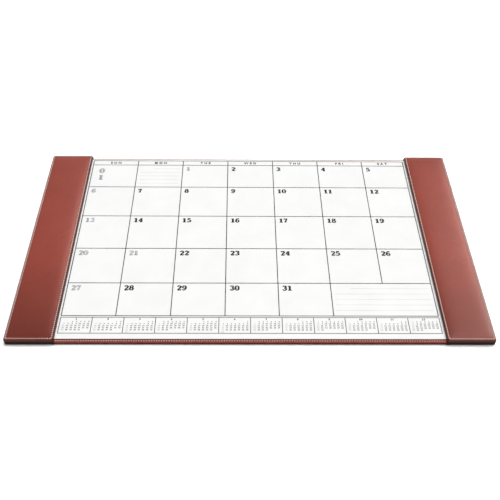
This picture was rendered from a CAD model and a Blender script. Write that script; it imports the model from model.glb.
import math
import random

import bmesh
import bpy
from mathutils import Matrix, Vector, noise


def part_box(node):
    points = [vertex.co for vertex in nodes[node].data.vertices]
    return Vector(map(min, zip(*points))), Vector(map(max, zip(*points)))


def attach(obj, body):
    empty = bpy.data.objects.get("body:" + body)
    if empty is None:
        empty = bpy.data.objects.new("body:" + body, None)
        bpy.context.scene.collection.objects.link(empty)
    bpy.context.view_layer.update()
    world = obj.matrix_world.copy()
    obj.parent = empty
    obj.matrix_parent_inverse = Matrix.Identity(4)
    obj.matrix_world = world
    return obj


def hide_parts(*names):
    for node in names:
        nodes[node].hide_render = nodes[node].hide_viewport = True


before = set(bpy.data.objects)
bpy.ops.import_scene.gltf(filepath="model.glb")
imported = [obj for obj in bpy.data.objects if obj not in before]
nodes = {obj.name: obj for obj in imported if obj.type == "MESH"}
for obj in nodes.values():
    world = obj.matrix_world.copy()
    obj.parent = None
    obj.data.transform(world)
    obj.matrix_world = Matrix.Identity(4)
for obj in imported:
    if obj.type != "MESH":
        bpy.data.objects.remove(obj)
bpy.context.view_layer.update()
scene = bpy.context.scene
mm = 0.001
close = 1e-6  # places nearer than this are one place
flatAngle = math.radians(1)  # faces that meet flatter than this become one face
print("frame loaded:", len(nodes), "nodes")


# Selecting and finishing, as every piece needs it
def activate(*pieces):
    bpy.ops.object.select_all(action="DESELECT")
    for piece in pieces:
        piece.select_set(True)
    bpy.context.view_layer.objects.active = pieces[-1]


def fixPlace(piece):
    activate(piece)
    bpy.ops.object.transform_apply(location=True, rotation=True, scale=True)


def finishWith(piece, kind, **settings):
    activate(piece)
    modifier = piece.modifiers.new(kind, kind)
    for name, value in settings.items():
        setattr(modifier, name, value)
    bpy.ops.object.modifier_apply(modifier=modifier.name)


# Closes the seams that a curve or a text leaves open in its mesh
def weldSeams(piece, distance):
    activate(piece)
    bpy.ops.object.mode_set(mode="EDIT")
    bpy.ops.mesh.select_all(action="SELECT")
    bpy.ops.mesh.remove_doubles(threshold=distance)
    bpy.ops.mesh.dissolve_limited(angle_limit=flatAngle)
    bpy.ops.mesh.normals_make_consistent(inside=False)
    bpy.ops.object.mode_set(mode="OBJECT")


# One piece from many copies of small meshes, each given with its place
def gatherCopies(name, copies):
    gathered = bmesh.new()
    for small, place in copies:
        copy = small.copy()
        copy.transform(place)
        gathered.from_mesh(copy)
        bpy.data.meshes.remove(copy)
    mesh = bpy.data.meshes.new(name)
    gathered.to_mesh(mesh)
    gathered.free()
    piece = bpy.data.objects.new(name, mesh)
    scene.collection.objects.link(piece)
    return piece


def rename(piece, name):
    piece.name = name
    piece.data.name = name
    return piece


def dress(piece, material, body):
    piece.data.materials.clear()
    piece.data.materials.append(material)
    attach(piece, body)


# Building blocks for shader trees
def addNode(tree, kind, inputs=None, **settings):
    node = tree.nodes.new(kind)
    for name, value in settings.items():
        setattr(node, name, value)
    for name, value in (inputs or {}).items():
        if isinstance(value, bpy.types.NodeSocket):
            tree.links.new(value, node.inputs[name])
        else:
            node.inputs[name].default_value = value
    return node


def mathNode(tree, operation, first, second=0.0, clamp=False):
    values = {0: first, 1: second}
    return addNode(tree, "ShaderNodeMath", values, operation=operation, use_clamp=clamp).outputs[0]


def weightedSum(tree, first, firstShare, second, secondShare):
    parts = [mathNode(tree, "MULTIPLY", first, firstShare), mathNode(tree, "MULTIPLY", second, secondShare)]
    return mathNode(tree, "ADD", *parts)


def rangeNode(tree, value, low, high, toLow=0.0, toHigh=1.0):
    limits = {"Value": value, "From Min": low, "From Max": high, "To Min": toLow, "To Max": toHigh}
    return addNode(tree, "ShaderNodeMapRange", limits, interpolation_type="SMOOTHSTEP").outputs[0]


# A mask that is at its full share at the first end of a span and gone at the second
def fadeNode(tree, value, origin, span, share=1.0):
    return rangeNode(tree, value, origin + span[0], origin + span[1], share, 0.0)


def noiseNode(tree, place, scale, detail, distortion=0.0):
    inputs = {"Vector": place, "Scale": scale, "Detail": detail, "Distortion": distortion}
    return addNode(tree, "ShaderNodeTexNoise", inputs).outputs


def mixColour(tree, factor, first, second):
    values = {0: factor, 6: first, 7: second}  # the sockets of its colour mode
    return addNode(tree, "ShaderNodeMix", values, data_type="RGBA").outputs[2]


def newGroup(name, inputs, outputs):
    tree = bpy.data.node_groups.new(name, "ShaderNodeTree")
    for label, kind, value in inputs:
        socket = tree.interface.new_socket(label, in_out="INPUT", socket_type=kind)
        if value is not None:
            socket.default_value = value
    for label in outputs:
        tree.interface.new_socket(label, in_out="OUTPUT", socket_type="NodeSocketFloat")
    return tree, tree.nodes.new("NodeGroupInput").outputs, tree.nodes.new("NodeGroupOutput")


def placeGroup(tree, group, inputs):
    return addNode(tree, "ShaderNodeGroup", inputs, node_tree=group).outputs


def newMaterial(name):
    material = bpy.data.materials.new(name)
    material.use_nodes = True
    tree = material.node_tree
    place = addNode(tree, "ShaderNodeTexCoord").outputs["Object"]
    return material, tree, tree.nodes["Principled BSDF"], place


def addBump(tree, shader, height, depth, strength):
    bump = addNode(tree, "ShaderNodeBump", {"Height": height, "Distance": depth, "Strength": strength})
    tree.links.new(bump.outputs[0], shader.inputs["Normal"])


# Pebbled grain of dyed leather: cells, creases between them, and cloudy dye
grainPattern = {
    "warpScale": 350.0,
    "warpReach": 0.8 * mm,
    "cellBlend": 0.35,
    "creaseScale": 0.42,
    "creaseWidth": 0.11,
    "creaseCut": 0.45,
    "fineScale": 2600.0,
    "fineShare": 0.25,
    "broadScale": 16.0,
    "broadShare": 0.55,
    "smallScale": 260.0,
    "smallShare": 0.45,
    "cloudRange": (0.3, 0.7),
}


def makeGrainGroup():
    tree, given, result = newGroup(
        "leatherGrain",
        [("Vector", "NodeSocketVector", None), ("Cells", "NodeSocketFloat", 1000.0)],
        ["Height", "Creases", "Clouds"],
    )
    place = given["Vector"]
    warp = noiseNode(tree, place, grainPattern["warpScale"], 2.0)["Color"]
    reach = (grainPattern["warpReach"],) * 3
    shift = addNode(tree, "ShaderNodeVectorMath", {0: warp, 1: reach}, operation="MULTIPLY").outputs[0]
    bent = addNode(tree, "ShaderNodeVectorMath", {0: place, 1: shift}, operation="ADD").outputs[0]
    pebbles = {"Vector": bent, "Scale": given["Cells"], "Smoothness": grainPattern["cellBlend"]}
    cells = addNode(tree, "ShaderNodeTexVoronoi", pebbles, feature="SMOOTH_F1").outputs["Distance"]
    wide = mathNode(tree, "MULTIPLY", given["Cells"], grainPattern["creaseScale"])
    plates = {"Vector": bent, "Scale": wide}
    edges = addNode(tree, "ShaderNodeTexVoronoi", plates, feature="DISTANCE_TO_EDGE").outputs["Distance"]
    creases = rangeNode(tree, edges, 0.0, grainPattern["creaseWidth"], 1.0, 0.0)
    fine = noiseNode(tree, bent, grainPattern["fineScale"], 2.0)["Fac"]
    domes = mathNode(tree, "SUBTRACT", 1.0, cells)
    cut = mathNode(tree, "SUBTRACT", domes, mathNode(tree, "MULTIPLY", creases, grainPattern["creaseCut"]))
    height = mathNode(tree, "ADD", cut, mathNode(tree, "MULTIPLY", fine, grainPattern["fineShare"]))
    broad = noiseNode(tree, place, grainPattern["broadScale"], 3.0)["Fac"]
    small = noiseNode(tree, place, grainPattern["smallScale"], 3.0)["Fac"]
    dye = weightedSum(tree, broad, grainPattern["broadShare"], small, grainPattern["smallShare"])
    clouds = rangeNode(tree, dye, *grainPattern["cloudRange"])
    for label, socket in (("Height", height), ("Creases", creases), ("Clouds", clouds)):
        tree.links.new(socket, result.inputs[label])
    return tree


# Rubbed patches that break up along an edge mask
rubPattern = {"scale": 140.0, "detail": 4.0, "patchRange": (0.35, 0.65), "weakest": 0.45}


def makeRubGroup():
    tree, given, result = newGroup(
        "edgeRub", [("Vector", "NodeSocketVector", None), ("Edge", "NodeSocketFloat", 0.0)], ["Rub"]
    )
    patches = noiseNode(tree, given["Vector"], rubPattern["scale"], rubPattern["detail"])["Fac"]
    broken = rangeNode(tree, patches, *rubPattern["patchRange"], rubPattern["weakest"], 1.0)
    tree.links.new(mathNode(tree, "MULTIPLY", given["Edge"], broken, clamp=True), result.inputs["Rub"])
    return tree


# Matted fibres of paper, card and felt
fibrePattern = {
    "stretch": (0.35, 1.0, 1.0),
    "detail": 5.0,
    "curl": 1.2,
    "cloudScale": 22.0,
    "toneRange": (0.3, 0.7),
}


def makeFibreGroup():
    tree, given, result = newGroup(
        "mattedFibre",
        [("Vector", "NodeSocketVector", None), ("Scale", "NodeSocketFloat", 900.0)],
        ["Height", "Tone"],
    )
    place = given["Vector"]
    drawn = addNode(tree, "ShaderNodeMapping", {"Vector": place, "Scale": fibrePattern["stretch"]})
    long = drawn.outputs[0]
    fibres = noiseNode(tree, long, given["Scale"], fibrePattern["detail"], fibrePattern["curl"])["Fac"]
    clouds = noiseNode(tree, place, fibrePattern["cloudScale"], 2.0)["Fac"]
    tone = weightedSum(tree, fibres, 0.5, clouds, 0.5)
    tree.links.new(fibres, result.inputs["Height"])
    tree.links.new(rangeNode(tree, tone, *fibrePattern["toneRange"]), result.inputs["Tone"])
    return tree


# Two crossed sets of ridges: the plies of a thread, or the yarns of a lining cloth
ridgePattern = {"ridgeShare": 0.5, "fuzzScale": 1900.0, "fuzzShare": 0.4, "toneRange": (-0.3, 0.8)}


def makeRidgeGroup():
    tree, given, result = newGroup(
        "crossedRidges",
        [("Vector", "NodeSocketVector", None), ("First", "NodeSocketVector", (1.0, 0.0, 0.0)),
         ("Second", "NodeSocketVector", (0.0, 1.0, 0.0))],
        ["Height", "Tone"],
    )
    place = given["Vector"]
    waves = []
    for label in ("First", "Second"):
        ways = {0: place, 1: given[label]}
        along = addNode(tree, "ShaderNodeVectorMath", ways, operation="DOT_PRODUCT").outputs["Value"]
        waves.append(mathNode(tree, "SINE", along))
    fuzz = noiseNode(tree, place, ridgePattern["fuzzScale"], 3.0)["Fac"]
    ridges = mathNode(tree, "MAXIMUM", *waves)
    height = weightedSum(tree, ridges, ridgePattern["ridgeShare"], fuzz, ridgePattern["fuzzShare"])
    tree.links.new(height, result.inputs["Height"])
    tree.links.new(rangeNode(tree, height, *ridgePattern["toneRange"]), result.inputs["Tone"])
    return tree


grainGroup = makeGrainGroup()
rubGroup = makeRubGroup()
fibreGroup = makeFibreGroup()
ridgeGroup = makeRidgeGroup()


# Leather, as the rails, the base and the end bindings share it
leatherFinish = {
    "cells": 1150.0,
    "creaseShare": 0.35,
    "heightRange": (0.2, 1.1),
    "rough": (0.37, 0.24),
    "depth": 0.22 * mm,
    "strength": 0.22,
    "glaze": (1.0, 0.55, 0.47, 1),
}


def leatherBase(name, look):
    material, tree, shader, place = newMaterial(name)
    grain = placeGroup(tree, grainGroup, {"Vector": place, "Cells": leatherFinish["cells"]})
    dyed = mixColour(tree, grain["Clouds"], look["deep"], look["light"])
    dark = mathNode(tree, "MULTIPLY", grain["Creases"], leatherFinish["creaseShare"])
    colour = mixColour(tree, dark, dyed, look["deep"])
    rough = rangeNode(tree, grain["Height"], *leatherFinish["heightRange"], *leatherFinish["rough"])
    tree.links.new(rough, shader.inputs["Roughness"])
    shader.inputs["Specular IOR Level"].default_value = look["gloss"]
    shader.inputs["Specular Tint"].default_value = leatherFinish["glaze"]
    addBump(tree, shader, grain["Height"], leatherFinish["depth"], leatherFinish["strength"])
    return material, tree, shader, place, colour


# Spans are measured from the rail's front, underside and inner edge
railLook = {
    "deep": (0.235, 0.035, 0.021, 1),
    "light": (0.290, 0.046, 0.029, 1),
    "gloss": 0.35,
    "handled": (0.105, 0.013, 0.007, 1),
    "handledSpan": (-60 * mm, 260 * mm),
    "handledShare": 0.95,
    "valley": (0.045, 0.006, 0.004, 1),
    "valleyShare": 0.8,
    "rubbed": (0.36, 0.075, 0.040, 1),
    "rubbedShare": 0.35,
    "dyed": (0.030, 0.0022, 0.0015, 1),
    "edgeSpan": (3.0 * mm, 4.1 * mm),
    "edgeShare": 0.97,
    "borderSpan": (1.8 * mm, 3.0 * mm),
    "borderShare": 0.92,
}


def makeRailLeather():
    material, tree, shader, place, colour = leatherBase("railLeather", railLook)
    edge = addNode(tree, "ShaderNodeAttribute", attribute_name="rolledEdge").outputs["Fac"]
    seam = addNode(tree, "ShaderNodeAttribute", attribute_name="seamValley").outputs["Fac"]
    rub = placeGroup(tree, rubGroup, {"Vector": place, "Edge": edge})["Rub"]
    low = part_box("right_rail_leather")[0]
    axes = addNode(tree, "ShaderNodeSeparateXYZ", {0: place}).outputs
    # hands resting on the front end darken it
    front = fadeNode(tree, axes["Y"], low.y, railLook["handledSpan"], railLook["handledShare"])
    handled = mixColour(tree, front, colour, railLook["handled"])
    sewn = mathNode(tree, "MULTIPLY", seam, railLook["valleyShare"])
    valley = mixColour(tree, sewn, handled, railLook["valley"])
    rubbed = mathNode(tree, "MULTIPLY", rub, railLook["rubbedShare"])
    worn = mixColour(tree, rubbed, valley, railLook["rubbed"])
    # the lower edge is dyed dark, and the border beside the sheet with it
    under = fadeNode(tree, axes["Z"], low.z, railLook["edgeSpan"], railLook["edgeShare"])
    inward = mathNode(tree, "ABSOLUTE", axes["X"])
    beside = fadeNode(tree, inward, low.x, railLook["borderSpan"], railLook["borderShare"])
    edged = mathNode(tree, "MAXIMUM", under, beside)
    tree.links.new(mixColour(tree, edged, worn, railLook["dyed"]), shader.inputs["Base Color"])
    return material


# Spans are measured from the base's front, back and top, and from the sheets' edge
baseLook = {
    "deep": (0.230, 0.040, 0.032, 1),
    "light": (0.300, 0.060, 0.048, 1),
    "gloss": 0.05,
    "rubbed": (0.42, 0.12, 0.09, 1),
    "frontSpan": (0.8 * mm, 2.0 * mm),
    "frontShare": 0.8,
    "burnished": (0.060, 0.0015, 0.0008, 1),
    "backSpan": (-1.6 * mm, -2.6 * mm),
    "backShare": 0.9,
    "sideSpan": (-3.0 * mm, -1.6 * mm),
    "sideShare": 0.97,
    "sheetSpan": (0.6 * mm, 1.8 * mm),
    "sheetShare": 0.7,
}


def makeBaseLeather():
    low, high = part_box("base_leather")
    material, tree, shader, place, colour = leatherBase("baseLeather", baseLook)
    axes = addNode(tree, "ShaderNodeSeparateXYZ", {0: place}).outputs
    # dirt gathers along the sheets
    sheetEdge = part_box("month_sheet_01")[1].y
    outward = mathNode(tree, "ABSOLUTE", axes["Y"])
    dirt = fadeNode(tree, outward, sheetEdge, baseLook["sheetSpan"], baseLook["sheetShare"])
    colour = mixColour(tree, dirt, colour, baseLook["burnished"])
    # sleeves rub the front edge, while the back one keeps its dark dye
    front = fadeNode(tree, axes["Y"], low.y, baseLook["frontSpan"], baseLook["frontShare"])
    rub = placeGroup(tree, rubGroup, {"Vector": place, "Edge": front})["Rub"]
    colour = mixColour(tree, rub, colour, baseLook["rubbed"])
    back = fadeNode(tree, axes["Y"], high.y, baseLook["backSpan"], baseLook["backShare"])
    side = fadeNode(tree, axes["Z"], high.z, baseLook["sideSpan"], baseLook["sideShare"])
    edged = mathNode(tree, "MAXIMUM", side, back)
    tree.links.new(mixColour(tree, edged, colour, baseLook["burnished"]), shader.inputs["Base Color"])
    return material


# The span is measured up from the lower edge
bindingLook = {
    "deep": (0.009, 0.002, 0.0015, 1),
    "light": (0.018, 0.005, 0.004, 1),
    "gloss": 0.06,
    "rubbed": (0.034, 0.011, 0.009, 1),
    "rubbedSpan": (0.5 * mm, 3.5 * mm),
}


def makeBindingLeather():
    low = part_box("right_end_binding")[0]
    material, tree, shader, place, colour = leatherBase("bindingLeather", bindingLook)
    height = addNode(tree, "ShaderNodeSeparateXYZ", {0: place}).outputs["Z"]
    edge = fadeNode(tree, height, low.z, bindingLook["rubbedSpan"])
    rub = placeGroup(tree, rubGroup, {"Vector": place, "Edge": edge})["Rub"]
    tree.links.new(mixColour(tree, rub, colour, bindingLook["rubbed"]), shader.inputs["Base Color"])
    return material


# Twisted and woven stuff: sewing thread with its plies at a slant, and the cloth under the rails
ridgeLooks = {
    "waxedThread": {
        "dark": (0.90, 0.78, 0.66, 1), "pale": (1.0, 0.94, 0.86, 1), "rough": (0.62, 0.48),
        "pitch": 0.75 * mm, "first": (1, 1, 0), "second": (1, 1, 1), "depth": 0.12 * mm,
    },
    "liningCloth": {
        "dark": (0.030, 0.010, 0.009, 1), "pale": (0.085, 0.030, 0.026, 1), "rough": (0.95, 0.8),
        "pitch": 0.9 * mm, "first": (1, 0, 0), "second": (0, 1, 0), "depth": 0.2 * mm,
    },
}
ridgeStrength = 0.6


def makeRidgedMaterial(name):
    look = ridgeLooks[name]
    material, tree, shader, place = newMaterial(name)
    turn = 2 * math.pi / look["pitch"]
    ways = {"First": Vector(look["first"]) * turn, "Second": Vector(look["second"]) * turn}
    ridges = placeGroup(tree, ridgeGroup, {"Vector": place, **ways})
    colour = mixColour(tree, ridges["Tone"], look["dark"], look["pale"])
    tree.links.new(colour, shader.inputs["Base Color"])
    tree.links.new(rangeNode(tree, ridges["Tone"], 0.0, 1.0, *look["rough"]), shader.inputs["Roughness"])
    addBump(tree, shader, ridges["Height"], look["depth"], ridgeStrength)
    return material


# Pressed and matted stuff: sheets, card, felt, gum
fibreLooks = {
    "sheetPaper": {
        "dark": (0.86, 0.86, 0.855, 1), "pale": (0.91, 0.91, 0.905, 1), "rough": (0.72, 0.86),
        "scale": 1500.0, "depth": 0.03 * mm,
    },
    "backingCard": {
        "dark": (0.11, 0.080, 0.050, 1), "pale": (0.18, 0.135, 0.090, 1), "rough": (0.8, 0.95),
        "scale": 800.0, "depth": 0.1 * mm,
    },
    "baseFelt": {
        "dark": (0.010, 0.008, 0.008, 1), "pale": (0.030, 0.022, 0.022, 1), "rough": (0.9, 1.0),
        "scale": 1100.0, "depth": 0.4 * mm,
    },
    "paddingGum": {
        "dark": (0.60, 0.52, 0.30, 1), "pale": (0.74, 0.66, 0.44, 1), "rough": (0.3, 0.5),
        "scale": 300.0, "depth": 0.1 * mm,
    },
}
fibreFinish = {"heightRange": (0.3, 0.7), "gloss": 0.3, "strength": 0.5}


def makeFibreMaterial(name):
    look = fibreLooks[name]
    material, tree, shader, place = newMaterial(name)
    fibre = placeGroup(tree, fibreGroup, {"Vector": place, "Scale": look["scale"]})
    tree.links.new(mixColour(tree, fibre["Tone"], look["dark"], look["pale"]), shader.inputs["Base Color"])
    rough = rangeNode(tree, fibre["Height"], *fibreFinish["heightRange"], *look["rough"])
    tree.links.new(rough, shader.inputs["Roughness"])
    shader.inputs["Specular IOR Level"].default_value = fibreFinish["gloss"]
    addBump(tree, shader, fibre["Height"], look["depth"], fibreFinish["strength"])
    return material


# Printing inks, a little uneven as they sink into the paper
inkLooks = {"blackInk": 0.008, "greyInk": 0.42, "lineInk": 0.012, "paleInk": 0.50}
inkFinish = {
    "scale": 2200.0,
    "full": (1.0, 1.0, 1.06),
    "sunk": (1.5, 1.5, 1.55),
    "haze": 0.01,
    "rough": (0.6, 0.8),
    "gloss": 0.25,
}


def makeInk(name):
    material, tree, shader, place = newMaterial(name)
    fibre = placeGroup(tree, fibreGroup, {"Vector": place, "Scale": inkFinish["scale"]})
    full = [inkLooks[name] * share for share in inkFinish["full"]] + [1]
    sunk = [inkLooks[name] * share + inkFinish["haze"] for share in inkFinish["sunk"]] + [1]
    tree.links.new(mixColour(tree, fibre["Tone"], full, sunk), shader.inputs["Base Color"])
    rough = rangeNode(tree, fibre["Height"], *fibreFinish["heightRange"], *inkFinish["rough"])
    tree.links.new(rough, shader.inputs["Roughness"])
    shader.inputs["Specular IOR Level"].default_value = inkFinish["gloss"]
    return material


railLeather = makeRailLeather()
baseLeather = makeBaseLeather()
bindingLeather = makeBindingLeather()
waxedThread = makeRidgedMaterial("waxedThread")
liningCloth = makeRidgedMaterial("liningCloth")
fibres = {name: makeFibreMaterial(name) for name in fibreLooks}
inks = {name: makeInk(name) for name in inkLooks}
print("materials made:", len(bpy.data.materials))


# Better finish on the CAD pieces whose shape is right
cadFinish = {
    "base_board": fibres["backingCard"],
    "base_leather": baseLeather,
    "base_felt": fibres["baseFelt"],
    "calendar_backing": fibres["backingCard"],
    "calendar_gum": fibres["paddingGum"],
}
for side in ("left", "right"):
    cadFinish[side + "_rail_board"] = fibres["backingCard"]
    cadFinish[side + "_rail_lining"] = liningCloth
    cadFinish[side + "_pocket_strips"] = fibres["backingCard"]
    cadFinish[side + "_end_binding"] = bindingLeather
for name in nodes:
    if name.startswith("month_sheet"):
        cadFinish[name] = fibres["sheetPaper"]
for name, material in cadFinish.items():
    nodes[name].data.materials.clear()
    nodes[name].data.materials.append(material)
print("CAD pieces finished:", len(cadFinish))


# Padded rail: the leather is inflated over its foam, then sewn down, rolled and turned under
railForm = {
    "threadSize": 0.9 * mm,
    "stitchSpacing": 4.4 * mm,
    "stitchReach": 3.2 * mm,
    "channelDepth": 0.3 * mm,
    "holeDepth": 0.14 * mm,
    "turnedUnder": 5.0 * mm,
    "turnBend": 0.4,
    "liningDepth": 0.5 * mm,
    # shares of the border's width and of the edge's height
    "edgeProfile": [
        (0.18, 1.0), (0.38, 1.01), (0.56, 0.975), (0.70, 0.89), (0.80, 0.74), (0.87, 0.52), (0.93, 0.30),
        (0.99, 0.10), (0.90, 0.0),
    ],
    "cornerSpread": 0.90,
    "cornerPull": 0.45,
    "cornerStitches": 2,
    "unevenness": 0.12 * mm,
    "unevenSpan": 30 * mm,
    "rubWidth": 2.5 * mm,
    "valleyWidth": 2.2 * mm,
}
# Blender's own names, for its cloth
railCloth = {
    "quality": 6,
    "mass": 0.2,
    "vertex_group_mass": "seam",
    "tension_stiffness": 5.0,
    "compression_stiffness": 5.0,
    "shear_stiffness": 2.5,
    "bending_stiffness": 2,
    "air_damping": 3,
    "use_pressure": True,
    "uniform_pressure_force": 120.0,
    "shrink_min": -0.0006,
}
clothFrames = 20
railLow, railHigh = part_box("right_rail_leather")
seamLow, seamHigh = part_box("right_rail_stitching")
railMid = (railLow.x + railHigh.x) / 2
seamHalfW = (seamHigh.x - seamLow.x - railForm["threadSize"]) / 2
seamHalfL = (seamHigh.y - seamLow.y - railForm["threadSize"]) / 2
channelZ = seamLow.z
borderZ = channelZ + railForm["channelDepth"]


def stitchCount(half):
    room = 2 * half - 2 * railForm["threadSize"] - railForm["stitchReach"]
    return int(room / railForm["stitchSpacing"]) + 1


# Whether a place, taken from the middle of its rail, is on the seam's sides and on its ends
def onSeam(x, y):
    return abs(abs(x) - seamHalfW) < close, abs(abs(y) - seamHalfL) < close


def inflatePanel():
    bpy.ops.object.select_all(action="DESELECT")
    bpy.ops.mesh.primitive_grid_add(
        x_subdivisions=stitchCount(seamHalfW), y_subdivisions=stitchCount(seamHalfL), size=1,
        location=(railMid, 0, channelZ),
    )
    panel = rename(bpy.context.object, "right_padded_rail")
    panel.scale = (2 * seamHalfW, 2 * seamHalfL, 1)
    fixPlace(panel)
    seam = panel.vertex_groups.new(name="seam")
    for v in panel.data.vertices:
        if any(onSeam(v.co.x - railMid, v.co.y)):
            seam.add([v.index], 1.0, "REPLACE")
        else:
            v.co.z += railForm["unevenness"] * noise.noise(v.co / railForm["unevenSpan"])
    cloth = panel.modifiers.new("Cloth", "CLOTH")
    for name, value in railCloth.items():
        setattr(cloth.settings, name, value)
    cloth.settings.effector_weights.gravity = 0
    cloth.collision_settings.use_collision = False
    for step in range(1, clothFrames + 1):
        scene.frame_set(step)
    activate(panel)
    bpy.ops.object.modifier_apply(modifier="Cloth")
    scene.frame_set(1)
    # the foam stops the leather at the crown's height
    crown = railHigh.z - channelZ
    rises = [v.co.z - channelZ for v in panel.data.vertices]
    for v, rise in zip(panel.data.vertices, rises):
        v.co.z = channelZ + crown * (1 - math.exp(-max(rise, 0) / crown))
    print("rail inflated to", round(max(rises) / mm, 2), "mm before the foam's limit")
    finishWith(panel, "SUBSURF", levels=1, render_levels=1, boundary_smooth="PRESERVE_CORNERS")
    return panel


# Where a place goes along the seam: pulled to a near corner, or drawn in with the lip
def alongSeam(place, half, reach):
    nearCorner = 1 - (half - abs(place)) / (railForm["cornerStitches"] * railForm["stitchSpacing"])
    pulled = railForm["cornerPull"] * max(reach, 0) * max(0, nearCorner)
    return place * (half + min(reach, 0)) / half + math.copysign(pulled, place)


# Where a point of the seam goes when the leather runs on past it by a given reach
def pastSeam(x, y, reach):
    sideX, sideY = math.copysign(1, x), math.copysign(1, y)
    atSide, atEnd = onSeam(x, y)
    if atSide and atEnd:
        spread = railForm["cornerSpread"] * max(reach, 0) + min(reach, 0)
        return x + sideX * spread, y + sideY * spread
    if atSide:
        return x + sideX * reach, alongSeam(y, seamHalfL, reach)
    return alongSeam(x, seamHalfW, reach), y + sideY * reach


def rollEdges(panel):
    border = railHigh.x - railMid - seamHalfW
    thickness = borderZ - railLow.z
    rings = [(across * border, railLow.z + up * thickness) for across, up in railForm["edgeProfile"]]
    lip = -railForm["turnedUnder"]
    rings.append((railForm["turnBend"] * lip, railLow.z))
    rings.append((lip, railLow.z))
    rings.append((lip, railLow.z + railForm["liningDepth"]))
    activate(panel)
    bpy.ops.object.mode_set(mode="EDIT")
    bpy.ops.mesh.select_all(action="SELECT")
    bpy.ops.mesh.region_to_loop()
    seamPlaces = None
    for reach, z in rings:
        bpy.ops.mesh.extrude_edges_move()
        shell = bmesh.from_edit_mesh(panel.data)
        ring = [v for v in shell.verts if v.select]
        if seamPlaces is None:
            places = {v.index: (v.co.x - railMid, v.co.y) for v in ring}
        else:
            places = {}
            for v in ring:
                below = [e.other_vert(v) for e in v.link_edges if not e.other_vert(v).select]
                places[v.index] = seamPlaces[below[0].index]
        for v in ring:
            x, y = pastSeam(*places[v.index], reach)
            v.co = (railMid + x, y, z)
        seamPlaces = places
        bmesh.update_edit_mesh(panel.data)
    bpy.ops.object.mode_set(mode="OBJECT")


def closeUnderside(panel):
    activate(panel)
    bpy.ops.object.mode_set(mode="EDIT")
    bpy.ops.mesh.select_all(action="DESELECT")
    bpy.ops.mesh.select_non_manifold()
    bpy.ops.mesh.fill()
    bpy.ops.mesh.select_all(action="SELECT")
    bpy.ops.mesh.normals_make_consistent(inside=False)
    bpy.ops.object.mode_set(mode="OBJECT")


# Every second point of the seam is a needle hole
def pressStitchHoles(panel):
    cellX = seamHalfW / stitchCount(seamHalfW)
    cellY = seamHalfL / stitchCount(seamHalfL)
    for v in panel.data.vertices:
        x, y = abs(v.co.x - railMid), abs(v.co.y)
        if abs(v.co.z - channelZ) > close:
            continue
        atSide = onSeam(x, y)[0]
        fromCorner = (seamHalfL - y) / cellY if atSide else (seamHalfW - x) / cellX
        if round(fromCorner) % 2 == 0:
            v.co.z -= railForm["holeDepth"]


# Masks for the material: 1 on the rolled edge, and 1 in the valley along the seam
def markEdges(panel):
    rolled = panel.data.attributes.new("rolledEdge", "FLOAT", "POINT")
    valley = panel.data.attributes.new("seamValley", "FLOAT", "POINT")
    for v in panel.data.vertices:
        past = max(abs(v.co.x - railMid) - seamHalfW, abs(v.co.y) - seamHalfL)
        rolled.data[v.index].value = max(0.0, min(1.0, past / railForm["rubWidth"]))
        valley.data[v.index].value = max(0.0, 1 - abs(past) / railForm["valleyWidth"])


def makeRails():
    rightRail = inflatePanel()
    rollEdges(rightRail)
    pressStitchHoles(rightRail)
    finishWith(rightRail, "SUBSURF", levels=1, render_levels=1)
    closeUnderside(rightRail)
    markEdges(rightRail)
    activate(rightRail)
    bpy.ops.object.shade_smooth()
    leftRail = rightRail.copy()
    leftRail.data = rightRail.data.copy()
    scene.collection.objects.link(leftRail)
    rename(leftRail, "left_padded_rail")
    leftRail.data.transform(Matrix.Scale(-1, 4, (1, 0, 0)))
    leftRail.data.flip_normals()
    for side, rail in (("right", rightRail), ("left", leftRail)):
        dress(rail, railLeather, "holder")
        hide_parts(side + "_rail_leather", side + "_rail_foam")
    print("rails made:", len(rightRail.data.polygons), "faces each")


makeRails()


# Sewing: one stitch is shaped once, then copied along every seam
stitchForm = {
    "sides": 6,
    "length": 2.6 * mm,
    "width": 1.65 * mm,
    "sink": 0.6 * mm,
    "rise": 0.5 * mm,
    "cuts": (-0.36, -0.2, 0, 0.2, 0.36),
    "taper": 0.28,
    "flatness": 0.75,
    "slant": 8,
    "sway": 2.5,
    "seed": 7,
    "finer": 0.7,
}


def makeStitch():
    length, rise = stitchForm["length"], stitchForm["rise"]
    bpy.ops.object.select_all(action="DESELECT")
    bpy.ops.mesh.primitive_cylinder_add(
        vertices=stitchForm["sides"], radius=stitchForm["width"] / 2, depth=length,
        rotation=(0, math.pi / 2, 0),
    )
    stitch = rename(bpy.context.object, "stitch_pattern")
    fixPlace(stitch)
    bpy.ops.object.mode_set(mode="EDIT")
    for share in stitchForm["cuts"]:
        bpy.ops.mesh.select_all(action="SELECT")
        bpy.ops.mesh.bisect(plane_co=(share * length, 0, 0), plane_no=(1, 0, 0))
    bpy.ops.object.mode_set(mode="OBJECT")
    # its ends taper, and dip into the leather
    for v in stitch.data.vertices:
        share = abs(v.co.x) / (length / 2)
        thin = 1 - stitchForm["taper"] * share ** 3
        lift = rise - (rise + stitchForm["sink"]) * share ** 4
        v.co = (v.co.x, v.co.y * thin, v.co.z * thin * stitchForm["flatness"] + lift)
    activate(stitch)
    bpy.ops.object.shade_smooth()
    return stitch


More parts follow.
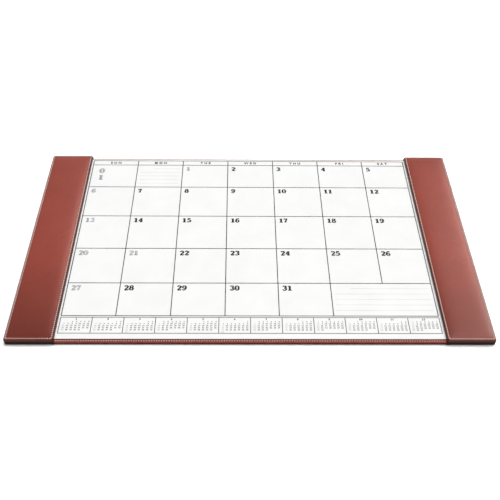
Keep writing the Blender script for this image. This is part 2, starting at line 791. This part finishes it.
# A seam is its middle, half its length, whether it is turned along Y, and its height
def sewSeams(name, stitch, seams, node):
    rng = random.Random(stitchForm["seed"])
    stitches = []
    for middle, half, turned, z in seams:
        count = stitchCount(half)
        for i in range(count):
            along = (i + 0.5) / count * 2 * half - half
            place = Vector((middle.x, along, z)) if turned else Vector((along + middle.x, middle.y, z))
            angle = math.radians(stitchForm["slant"] + rng.uniform(-1, 1) * stitchForm["sway"])
            turn = Matrix.Rotation(angle + (math.pi / 2 if turned else 0), 4, "Z")
            stitches.append((stitch.data, Matrix.Translation(place) @ turn))
    piece = gatherCopies(name, stitches)
    dress(piece, waxedThread, "holder")
    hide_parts(node)


def makeSewing():
    stitch = makeStitch()
    for side, sign in (("left", -1), ("right", 1)):
        middle = sign * railMid
        seams = []
        for end in (-1, 1):
            seams.append((Vector((middle, end * seamHalfL)), seamHalfW, False, channelZ))
            seams.append((Vector((middle + end * seamHalfW, 0)), seamHalfL, True, channelZ))
        sewSeams(side + "_rail_sewing", stitch, seams, side + "_rail_stitching")
    # the base is sewn finer than the rails, and finest at the back
    for edge in ("front", "back"):
        stitch.data.transform(Matrix.Diagonal((1, stitchForm["finer"], stitchForm["finer"], 1)))
        node = "base_" + edge + "_stitching"
        low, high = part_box(node)
        half = (high.x - low.x) / 2 + railForm["threadSize"]
        middle = Vector((0, (low.y + high.y) / 2))
        sewSeams("base_" + edge + "_sewing", stitch, [(middle, half, False, low.z)], node)
    bpy.data.objects.remove(stitch)


makeSewing()
print("seams sewn")


# Print on the top sheet: columns run to the right, rows to the back
sheetLow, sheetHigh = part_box("month_sheet_01")
inkThickness = 0.03 * mm
inkZ = sheetHigh.z
monthPlan = {
    "left": -340.4 * mm,
    "columns": [97.6 * mm] + [98.2 * mm] * 5 + [91.5 * mm],
    "frontMargin": 12 * mm,
    "smallMonths": 35.8 * mm,
    "gap": 3.6 * mm,
    "rows": [78.5 * mm, 90 * mm, 92 * mm, 89.5 * mm, 72.5 * mm],
    "heading": 14.5 * mm,
    "lineWidth": 1.7 * mm,
    "firstDay": 2,
    "days": 31,
    "greyDays": (1, 21),
}
columns = [monthPlan["left"]]
for width in monthPlan["columns"]:
    columns.append(columns[-1] + width)
smallLow = sheetLow.y + monthPlan["frontMargin"]
smallHigh = smallLow + monthPlan["smallMonths"]
rows = [smallHigh + monthPlan["gap"]]
for height in monthPlan["rows"] + [monthPlan["heading"]]:
    rows.append(rows[-1] + height)


# A field of cells is cut from a plane, and what is left between the cells is the ruling.
# Cells on both sides of a joined place become one.
def ruleField(name, xs, ys, joined, width):
    bpy.ops.object.select_all(action="DESELECT")
    middle = ((xs[0] + xs[-1]) / 2, (ys[0] + ys[-1]) / 2, inkZ)
    bpy.ops.mesh.primitive_plane_add(size=1, location=middle)
    field = rename(bpy.context.object, name)
    field.scale = (xs[-1] - xs[0] + width, ys[-1] - ys[0] + width, 1)
    fixPlace(field)
    bpy.ops.object.mode_set(mode="EDIT")
    for x in xs[1:-1]:
        bpy.ops.mesh.select_all(action="SELECT")
        bpy.ops.mesh.bisect(plane_co=(x, 0, 0), plane_no=(1, 0, 0))
    for y in ys[1:-1]:
        bpy.ops.mesh.select_all(action="SELECT")
        bpy.ops.mesh.bisect(plane_co=(0, y, 0), plane_no=(0, 1, 0))
    if joined:
        bpy.ops.mesh.select_all(action="DESELECT")
        cells = bmesh.from_edit_mesh(field.data)
        for edge in cells.edges:
            centre = (edge.verts[0].co + edge.verts[1].co) / 2
            edge.select_set(any(abs(centre.x - x) < close and abs(centre.y - y) < width for x, y in joined))
        bmesh.update_edit_mesh(field.data)
        bpy.ops.mesh.dissolve_edges(use_verts=False)
    bpy.ops.mesh.select_all(action="SELECT")
    bpy.ops.mesh.inset(thickness=width / 2)  # outer half of the border
    bpy.ops.mesh.inset(thickness=width / 2, use_individual=True)
    bpy.ops.mesh.delete(type="FACE")
    bpy.ops.object.mode_set(mode="OBJECT")
    finishWith(field, "SOLIDIFY", thickness=inkThickness, offset=1)
    dress(field, inks["lineInk"], "calendar")


def printRuling():
    # the last two cells of the front row are one place for notes
    notes = (columns[6], (rows[0] + rows[1]) / 2)
    ruleField("month_ruling", columns, rows, [notes], monthPlan["lineWidth"])


# Places for notes are ruled with pale lines
notePlan = {"lines": 5, "width": 0.8 * mm, "margin": 6 * mm, "headingRoom": 30 * mm}


def printNoteLines():
    places = [(columns[1], columns[2], rows[4], rows[5]), (columns[5], columns[7], rows[0], rows[1])]
    bars = []
    for left, right, low, high in places:
        step = (high - low) / (notePlan["lines"] + 1)
        for i in range(notePlan["lines"]):
            start = left + notePlan["margin"] + (notePlan["headingRoom"] if i == 0 else 0)
            end = right - notePlan["margin"]
            y = high - (i + 1) * step
            bpy.ops.object.select_all(action="DESELECT")
            bpy.ops.mesh.primitive_plane_add(size=1, location=((start + end) / 2, y, inkZ))
            bar = bpy.context.object
            bar.scale = (end - start, notePlan["width"], 1)
            fixPlace(bar)
            bars.append(bar)
    activate(*bars)
    bpy.ops.object.join()
    ruled = rename(bpy.context.object, "note_lines")
    finishWith(ruled, "SOLIDIFY", thickness=inkThickness, offset=1)
    dress(ruled, inks["paleInk"], "calendar")


# Numerals with thick stems and slab feet: strokes of x, y and half width in a box one high
thick, mid, thin, slab, ball = 0.155, 0.126, 0.082, 0.078, 0.124
numerals = {
    "0": [
        ("ring", [(0.33, 0.955, thin), (0.55, 0.5, thick), (0.33, 0.045, thin), (0.11, 0.5, thick)]),
    ],
    "1": [
        ("line", [(0.34, 0.02, thick), (0.34, 0.98, thick)]),
        ("line", [(0.08, 0.045, slab), (0.60, 0.045, slab)]),
        ("line", [(0.08, 0.80, slab), (0.32, 0.93, slab)]),
    ],
    "2": [
        ("bend", [(0.15, 0.72, ball), (0.17, 0.87, mid), (0.33, 0.955, thin), (0.53, 0.73, thick),
                  (0.37, 0.42, mid), (0.12, 0.13, thin)]),
        ("line", [(0.08, 0.075, mid), (0.57, 0.075, mid)]),
        ("line", [(0.57, 0.04, slab), (0.59, 0.25, thin)]),
    ],
    "3": [
        ("bend", [(0.14, 0.78, ball), (0.19, 0.90, mid), (0.34, 0.955, thin), (0.51, 0.75, thick),
                  (0.33, 0.54, thin)]),
        ("bend", [(0.30, 0.54, thin), (0.54, 0.29, thick), (0.34, 0.045, thin), (0.17, 0.11, mid),
                  (0.12, 0.24, ball)]),
    ],
    "4": [
        ("line", [(0.41, 0.96, thin), (0.05, 0.30, thin)]),
        ("line", [(0.03, 0.29, slab), (0.63, 0.29, slab)]),
        ("line", [(0.44, 0.02, thick), (0.44, 0.98, thick)]),
        ("line", [(0.26, 0.045, slab), (0.62, 0.045, slab)]),
    ],
    "5": [
        ("line", [(0.13, 0.915, mid), (0.55, 0.915, mid)]),
        ("line", [(0.16, 0.96, thin), (0.14, 0.49, thin)]),
        ("bend", [(0.14, 0.51, thin), (0.33, 0.61, thin), (0.54, 0.33, thick), (0.34, 0.045, thin),
                  (0.17, 0.10, mid), (0.12, 0.23, ball)]),
    ],
    "6": [
        ("ring", [(0.34, 0.57, thin), (0.55, 0.30, mid), (0.34, 0.045, thin), (0.12, 0.30, thick)]),
        ("bend", [(0.125, 0.31, thick), (0.18, 0.74, mid), (0.38, 0.955, thin), (0.50, 0.89, mid),
                  (0.52, 0.79, ball)]),
    ],
    "7": [
        ("line", [(0.08, 0.90, mid), (0.59, 0.90, mid)]),
        ("line", [(0.10, 0.98, thin), (0.08, 0.69, thin)]),
        ("bend", [(0.56, 0.88, thin), (0.37, 0.50, mid), (0.28, 0.02, thick)]),
    ],
    "8": [
        ("ring", [(0.33, 0.955, thin), (0.51, 0.76, mid), (0.33, 0.55, thin), (0.15, 0.76, mid)]),
        ("ring", [(0.33, 0.54, thin), (0.55, 0.29, thick), (0.33, 0.045, thin), (0.11, 0.29, thick)]),
    ],
}
numeralPlan = {"spacing": 0.80, "stretch": 1.12, "turnedWidth": 0.66, "weld": 0.001}


def drawNumeral(name, strokes, smoothness):
    curve = bpy.data.curves.new("numeral_" + name, "CURVE")
    curve.dimensions = "3D"
    curve.resolution_u = smoothness
    curve.bevel_depth = 1
    curve.bevel_resolution = 0
    curve.use_fill_caps = True
    curve.twist_mode = "Z_UP"
    for kind, points in strokes:
        spline = curve.splines.new("BEZIER")
        spline.bezier_points.add(len(points) - 1)
        spline.use_cyclic_u = kind == "ring"
        spline.resolution_u = smoothness if kind != "line" else 1
        for point, (x, y, halfWidth) in zip(spline.bezier_points, points):
            point.co = (x, y, 0)
            point.radius = halfWidth
            point.handle_left_type = "VECTOR" if kind == "line" else "AUTO"
            point.handle_right_type = point.handle_left_type
    drawn = bpy.data.objects.new("numeral_" + name, curve)
    scene.collection.objects.link(drawn)
    activate(drawn)
    bpy.ops.object.convert(target="MESH")
    drawn = bpy.context.object
    weldSeams(drawn, numeralPlan["weld"])
    mesh = drawn.data.copy()
    bpy.data.objects.remove(drawn)
    # pressed flat, to the thickness of the ink
    thickest = max(v.co.z for v in mesh.vertices)
    mesh.transform(Matrix.Diagonal((1, 1, inkThickness / thickest, 1)))
    return mesh


# The nine is the six, turned
def drawNumerals(smoothness):
    drawn = {name: drawNumeral(name, strokes, smoothness) for name, strokes in numerals.items()}
    drawn["9"] = drawn["6"].copy()
    turned = Matrix.Translation((numeralPlan["turnedWidth"], 1, 0)) @ Matrix.Rotation(math.pi, 4, "Z")
    drawn["9"].transform(turned)
    return drawn


def numberWidth(text, height):
    return len(text) * numeralPlan["spacing"] * height


# A number's marks: each numeral's mesh with its place, from the number's left end
def setNumber(drawn, text, x, y, height):
    marks = []
    for i, letter in enumerate(text):
        place = Matrix.Translation((x + i * numeralPlan["spacing"] * height, y, inkZ))
        size = Matrix.Diagonal((numeralPlan["stretch"] * height, height, 1, 1))
        marks.append((drawn[letter], place @ size))
    return marks


# Dates, and the month's own number in the first cell, one numeral above the other
datePlan = {
    "height": 11.8 * mm,
    "inset": 7.8 * mm,
    "drop": 18 * mm,
    "smoothness": 6,
    "monthNumber": "01",
    "monthHeight": 15 * mm,
    "monthInset": 16 * mm,
    "monthDrop": 27 * mm,
    "monthStep": 22 * mm,
}


def printDates():
    drawn = drawNumerals(datePlan["smoothness"])
    black, grey = [], []
    for day in range(1, monthPlan["days"] + 1):
        cell = day - 1 + monthPlan["firstDay"]
        column, week = cell % 7, cell // 7
        x = columns[column] + datePlan["inset"]
        y = rows[5 - week] - datePlan["drop"]
        quiet = column == 0 or day in monthPlan["greyDays"]
        (grey if quiet else black).extend(setNumber(drawn, str(day), x, y, datePlan["height"]))
    for i, letter in enumerate(datePlan["monthNumber"]):
        x = columns[0] + datePlan["monthInset"]
        y = rows[5] - datePlan["monthDrop"] - i * datePlan["monthStep"]
        grey.extend(setNumber(drawn, letter, x, y, datePlan["monthHeight"]))
    dress(gatherCopies("date_numbers", black), inks["blackInk"], "calendar")
    dress(gatherCopies("quiet_date_numbers", grey), inks["greyInk"], "calendar")


# Twelve small months along the front
smallPlan = {
    "height": 2.6 * mm,
    "side": 3 * mm,
    "titleHeight": 4.0 * mm,
    "titleDrop": 6 * mm,
    "firstLine": 11 * mm,
    "lineStep": 4.6 * mm,
    "dayEnd": 0.85,
    "smoothness": 2,
    "lineWidth": 1.3 * mm,
    "monthDays": [31, 28, 31, 30, 31, 30, 31, 31, 30, 31, 30, 31],
}
smallStep = (columns[-1] - columns[0]) / 12


def printSmallRuling():
    months = [columns[0] + i * smallStep for i in range(13)]
    ruleField("small_month_ruling", months, [smallLow, smallHigh], [], smallPlan["lineWidth"])


def printSmallMonths():
    drawn = drawNumerals(smallPlan["smoothness"])
    dayStep = (smallStep - 2 * smallPlan["side"]) / 7
    start = monthPlan["firstDay"]
    black, grey = [], []
    for month, days in enumerate(smallPlan["monthDays"]):
        left = columns[0] + month * smallStep
        title = str(month + 1)
        x = left + smallStep / 2 - numberWidth(title, smallPlan["titleHeight"]) / 2
        y = smallHigh - smallPlan["titleDrop"]
        black.extend(setNumber(drawn, title, x, y, smallPlan["titleHeight"]))
        for day in range(1, days + 1):
            cell = day - 1 + start
            column, week = cell % 7, cell // 7
            right = left + smallPlan["side"] + (column + smallPlan["dayEnd"]) * dayStep
            x = right - numberWidth(str(day), smallPlan["height"])
            y = smallHigh - smallPlan["firstLine"] - week * smallPlan["lineStep"]
            (grey if column == 0 else black).extend(setNumber(drawn, str(day), x, y, smallPlan["height"]))
        start = (start + days) % 7
    dress(gatherCopies("small_month_days", black), inks["blackInk"], "calendar")
    dress(gatherCopies("small_month_quiet_days", grey), inks["greyInk"], "calendar")


# Short weekday headings, one over each column
headingPlan = {
    "words": ["SUN", "MON", "TUE", "WED", "THU", "FRI", "SAT"],
    "size": 8.6 * mm,
    "spacing": 1.75,
    "bolder": 0.75 * mm,
    "smoothness": 4,
    "weld": 0.001 * mm,
}


def printHeadings():
    words = []
    for i, word in enumerate(headingPlan["words"]):
        bpy.ops.object.select_all(action="DESELECT")
        bpy.ops.object.text_add()
        text = bpy.context.object.data
        text.body = word
        text.size = headingPlan["size"]
        text.space_character = headingPlan["spacing"]
        text.align_x = "CENTER"
        text.align_y = "CENTER"
        text.resolution_u = headingPlan["smoothness"]
        text.extrude = headingPlan["size"] / 10  # thick at first, so that it swells evenly
        bpy.ops.object.convert(target="MESH")
        heading = bpy.context.object
        weldSeams(heading, headingPlan["weld"])
        finishWith(heading, "DISPLACE", strength=headingPlan["bolder"], mid_level=0)
        heading.scale.z = inkThickness / heading.dimensions.z
        x = (columns[i] + columns[i + 1]) / 2
        y = (rows[-1] + rows[-2]) / 2
        heading.location = (x, y, inkZ + inkThickness / 2)
        fixPlace(heading)
        words.append(heading)
    activate(*words)
    bpy.ops.object.join()
    dress(rename(bpy.context.object, "weekday_headings"), inks["blackInk"], "calendar")


printRuling()
printSmallRuling()
printNoteLines()
printDates()
printSmallMonths()
printHeadings()
print("top sheet printed")


# Floor, light and camera
stageSet = {
    "size": 24,
    "drop": 0.02 * mm,
    "floorTone": 0.5,
    "floorSeen": 1.5,
    "horizonLight": 0.14,
    "zenithLight": 0.62,
    "zenithFrom": 0.8,
}
lights = {
    "top": {"kind": "SUN", "strength": 1.9, "spread": 40, "from": (0.38, 0.28, 1.0)},
    "rightSheen": {
        "kind": "AREA", "strength": 7.5, "size": 0.7, "from": (1.15, 0.95, 0.85), "sheenOnly": True,
    },
    "leftSheen": {
        "kind": "AREA", "strength": 4.6, "size": 0.4, "from": (-0.28, 1.0, 1.08), "sheenOnly": True,
    },
    "frontSheen": {
        "kind": "AREA", "strength": 11.0, "size": 0.4, "from": (1.28, 0.36, 0.86), "sheenOnly": True,
    },
    "fill": {
        "kind": "AREA", "strength": 0.22, "size": 0.3, "from": (0.62, -0.95, 0.14), "at": (0.38, -0.25, 0.0),
    },
}
camera = {
    "sensor": 36,
    "lens": 53.41,
    "pitch": 46.085,
    "yaw": 1.2274,
    "roll": 1.0444,
    "place": (-0.02147, -1.03647, 1.05577),
}


# True for what the camera sees itself, or in a gloss or through glass
def seenByCamera(tree):
    path = addNode(tree, "ShaderNodeLightPath").outputs
    seen = mathNode(tree, "MAXIMUM", path["Is Camera Ray"], path["Is Glossy Ray"])
    return mathNode(tree, "MAXIMUM", seen, path["Is Transmission Ray"])


def makeFloor():
    bpy.ops.object.select_all(action="DESELECT")
    bpy.ops.mesh.primitive_plane_add(size=stageSet["size"], location=(0, 0, -stageSet["drop"]))
    floor = rename(bpy.context.object, "floor")
    material = bpy.data.materials.new("paleFloor")
    material.use_nodes = True
    tree = material.node_tree
    tree.nodes.remove(tree.nodes["Principled BSDF"])
    tones = [(tone, tone, tone, 1) for tone in (stageSet["floorTone"], stageSet["floorSeen"])]
    diffuse = addNode(tree, "ShaderNodeBsdfDiffuse", {"Color": mixColour(tree, seenByCamera(tree), *tones)})
    tree.links.new(diffuse.outputs[0], tree.nodes["Material Output"].inputs["Surface"])
    floor.data.materials.append(material)


def makeRoom():
    world = bpy.data.worlds.new("softRoom")
    scene.world = world
    world.use_nodes = True
    tree = world.node_tree
    direction = addNode(tree, "ShaderNodeTexCoord").outputs["Generated"]
    up = addNode(tree, "ShaderNodeSeparateXYZ", {0: direction}).outputs["Z"]
    sky = rangeNode(tree, up, 0.0, stageSet["zenithFrom"], stageSet["horizonLight"], stageSet["zenithLight"])
    level = mathNode(tree, "MAXIMUM", sky, seenByCamera(tree))
    tree.links.new(level, tree.nodes["Background"].inputs["Strength"])
    tree.nodes["Background"].inputs["Color"].default_value = (1, 1, 1, 1)


def makeLights():
    for name, plan in lights.items():
        lamp = bpy.data.lights.new(name, plan["kind"])
        lamp.energy = plan["strength"]
        if plan["kind"] == "SUN":
            lamp.angle = math.radians(plan["spread"])
        else:
            lamp.shape = "DISK"
            lamp.size = plan["size"]
        holder = bpy.data.objects.new(name, lamp)
        scene.collection.objects.link(holder)
        holder.location = plan["from"]
        holder.visible_diffuse = not plan.get("sheenOnly", False)
        aim = Vector(plan.get("at", (0, 0, 0))) - Vector(plan["from"])
        holder.rotation_euler = aim.to_track_quat("-Z", "Y").to_euler()


def makeCamera():
    bpy.ops.object.camera_add(location=camera["place"])
    view = bpy.context.object
    view.data.sensor_width = camera["sensor"]
    view.data.lens = camera["lens"]
    pitch, yaw, roll = (math.radians(camera[name]) for name in ("pitch", "yaw", "roll"))
    turn = Matrix.Rotation(-yaw, 3, "Z") @ Matrix.Rotation(math.pi / 2 - pitch, 3, "X")
    view.rotation_euler = (turn @ Matrix.Rotation(roll, 3, "Z")).to_euler()
    scene.camera = view


makeFloor()
makeRoom()
makeLights()
makeCamera()
scene.view_settings.view_transform = "Standard"
print("stage, lights and camera set")
